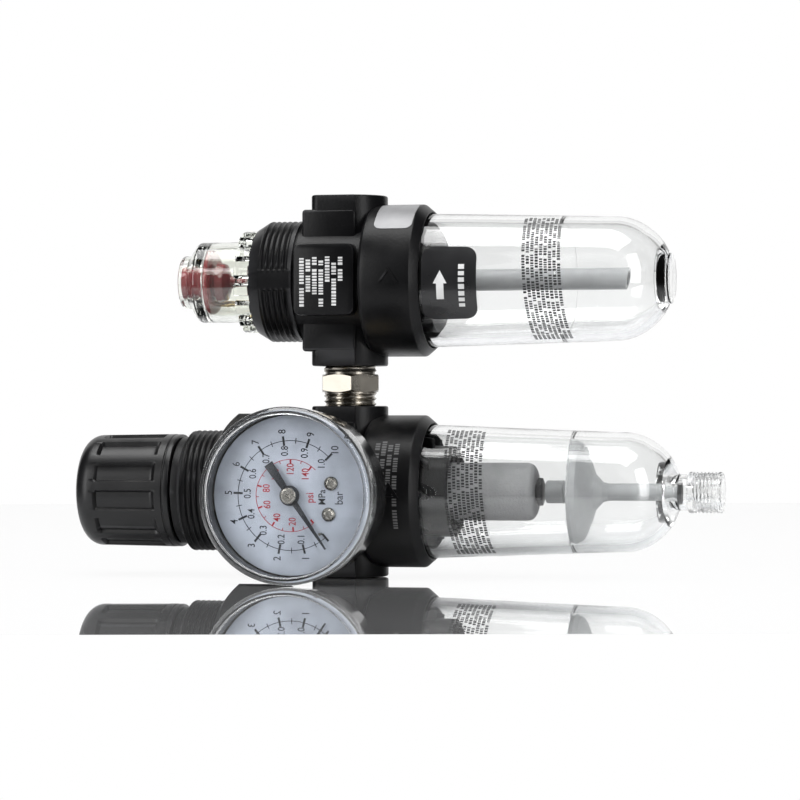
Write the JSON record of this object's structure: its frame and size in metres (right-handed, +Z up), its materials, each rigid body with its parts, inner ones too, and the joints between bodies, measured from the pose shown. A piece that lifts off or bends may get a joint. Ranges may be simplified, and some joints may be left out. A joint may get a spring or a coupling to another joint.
{
  "type": "filter regulator lubricator",
  "caption": "Miniature compressed-air filter regulator with dial gauge, joined by a hexagon nipple to an oil-fog lubricator, both with clear bowls, lying on their sides.",
  "frame": {"origin": "on the floor, under the middle of the assembly's bounding box", "axes": "+X towards the bowls, +Y away from the gauge's face, +Z up through the ports, the way the air flows"},
  "size_m": [0.1616, 0.0698, 0.0938],
  "materials": {
    "casting": "black satin paint on zinc",
    "black_plastic": "black moulded acetal",
    "gauge_black": "gloss black",
    "clear_plastic": "clear polycarbonate",
    "steel": "zinc plated",
    "brass": "turned brass",
    "nickel": "nickel plated brass",
    "rubber": "nitrile",
    "element_grey": "sintered polypropylene",
    "grey_plastic": "grey moulded plastic",
    "red_plastic": "dark red moulded plastic",
    "dial": "pale printed dial"
  },
  "bodies": {
    "root": {"regulator_body": "casting", "regulator_bonnet": "black_plastic", "main_spring": "steel", "diaphragm": "rubber", "valve_spring": "steel", "valve_guide": "black_plastic", "filter_louver": "black_plastic", "filter_element": "element_grey", "element_retainer": "black_plastic", "filter_bowl_ring": "rubber", "gauge_port_plug": "brass", "gauge_case": "gauge_black", "gauge_lens": "clear_plastic", "gauge_stem": "brass", "bourdon_tube": "brass", "movement_frame": "brass", "gauge_dial": "dial", "dial_screw_1": "nickel", "dial_screw_2": "nickel", "stop_pin": "nickel", "hex_nipple": "nickel", "lubricator_body": "casting", "sight_dome": "clear_plastic", "sight_dome_ring": "rubber", "oil_riser": "grey_plastic", "venturi": "black_plastic", "siphon_tube": "grey_plastic", "lubricator_bowl_ring": "rubber"},
    "screw_body": {"adjusting_screw": "brass"},
    "knob_body": {"adjusting_knob": "black_plastic"},
    "nut_body": {"spring_nut": "brass"},
    "diaphragm_body": {"diaphragm_plate": "brass", "diaphragm_washer": "steel"},
    "valve_body": {"valve": "brass", "valve_seal": "rubber"},
    "sector_body": {"sector_gear": "brass"},
    "link_body": {"movement_link": "steel"},
    "pointer_body": {"pinion_shaft": "steel", "pointer": "gauge_black", "pointer_cap": "nickel"},
    "filter_bowl_body": {"filter_bowl": "clear_plastic"},
    "drain_body": {"drain_baffle": "grey_plastic", "drain_seal": "rubber"},
    "lubricator_bowl_body": {"lubricator_bowl": "clear_plastic"},
    "feed_body": {"metering_screw": "red_plastic", "metering_ring": "rubber", "drip_nozzle": "nickel"},
    "ball_body": {"check_ball": "steel"}
  },
  "joints": [
    {"name": "knob_turn", "type": "hinge", "parent": "root", "child": "screw_body", "pos_m": [-0.07, 0.01615, 0.021], "axis": [1, 0, 0], "range_deg": [0, 2520]},
    {"name": "knob_pull", "type": "slide", "parent": "screw_body", "child": "knob_body", "axis": [-1, 0, 0], "range_m": [0, 0.0025]},
    {"name": "nut_travel", "type": "slide", "parent": "root", "child": "nut_body", "axis": [1, 0, 0], "range_m": [0, 0.0071], "deforming": ["main_spring"]},
    {"name": "diaphragm_lift", "type": "slide", "parent": "root", "child": "diaphragm_body", "axis": [1, 0, 0], "range_m": [0, 0.001], "stiffness_N_per_m": 200, "deforming": ["diaphragm"]},
    {"name": "valve_lift", "type": "slide", "parent": "root", "child": "valve_body", "axis": [1, 0, 0], "range_m": [0, 0.0011], "deforming": ["valve_spring"]},
    {"name": "sector_turn", "type": "hinge", "parent": "root", "child": "sector_body", "pos_m": [-0.0029, -0.02, 0.021], "axis": [0, -1, 0], "range_deg": [0, 37.14], "stiffness_Nm_per_rad": 0.001, "deforming": ["bourdon_tube"]},
    {"name": "link_turn", "type": "hinge", "parent": "sector_body", "child": "link_body", "pos_m": [0.00128, -0.02, 0.01964], "axis": [0, 1, 0], "range_deg": [0, 37.2]},
    {"name": "pointer_turn", "type": "hinge", "parent": "root", "child": "pointer_body", "pos_m": [-0.01495, -0.02, 0.021], "axis": [0, 1, 0], "range_deg": [0, 260]},
    {"name": "filter_bowl_off", "type": "slide", "parent": "root", "child": "filter_bowl_body", "axis": [1, 0, 0], "range_m": [0, 0.045]},
    {"name": "drain_close", "type": "slide", "parent": "filter_bowl_body", "child": "drain_body", "axis": [1, 0, 0], "range_m": [0, 0.0012], "stiffness_N_per_m": 100},
    {"name": "lubricator_bowl_off", "type": "slide", "parent": "root", "child": "lubricator_bowl_body", "axis": [1, 0, 0], "range_m": [0, 0.065]},
    {"name": "feed_turn", "type": "hinge", "parent": "root", "child": "feed_body", "pos_m": [-0.05, 0.01615, 0.0728], "axis": [-1, 0, 0], "range_deg": [0, 720]},
    {"name": "ball_lift", "type": "slide", "parent": "root", "child": "ball_body", "axis": [-1, 0, 0], "range_m": [0, 0.0006]}
  ],
  "couplings": [
    {"joint": "nut_travel", "follows": "knob_turn", "m_per_rad": 0.00015915},
    {"joint": "valve_lift", "follows": "diaphragm_lift", "ratio": 1},
    {"joint": "pointer_turn", "follows": "sector_turn", "ratio": 7},
    {"joint": "link_turn", "follows": "sector_turn", "ratio": 1}
  ]
}
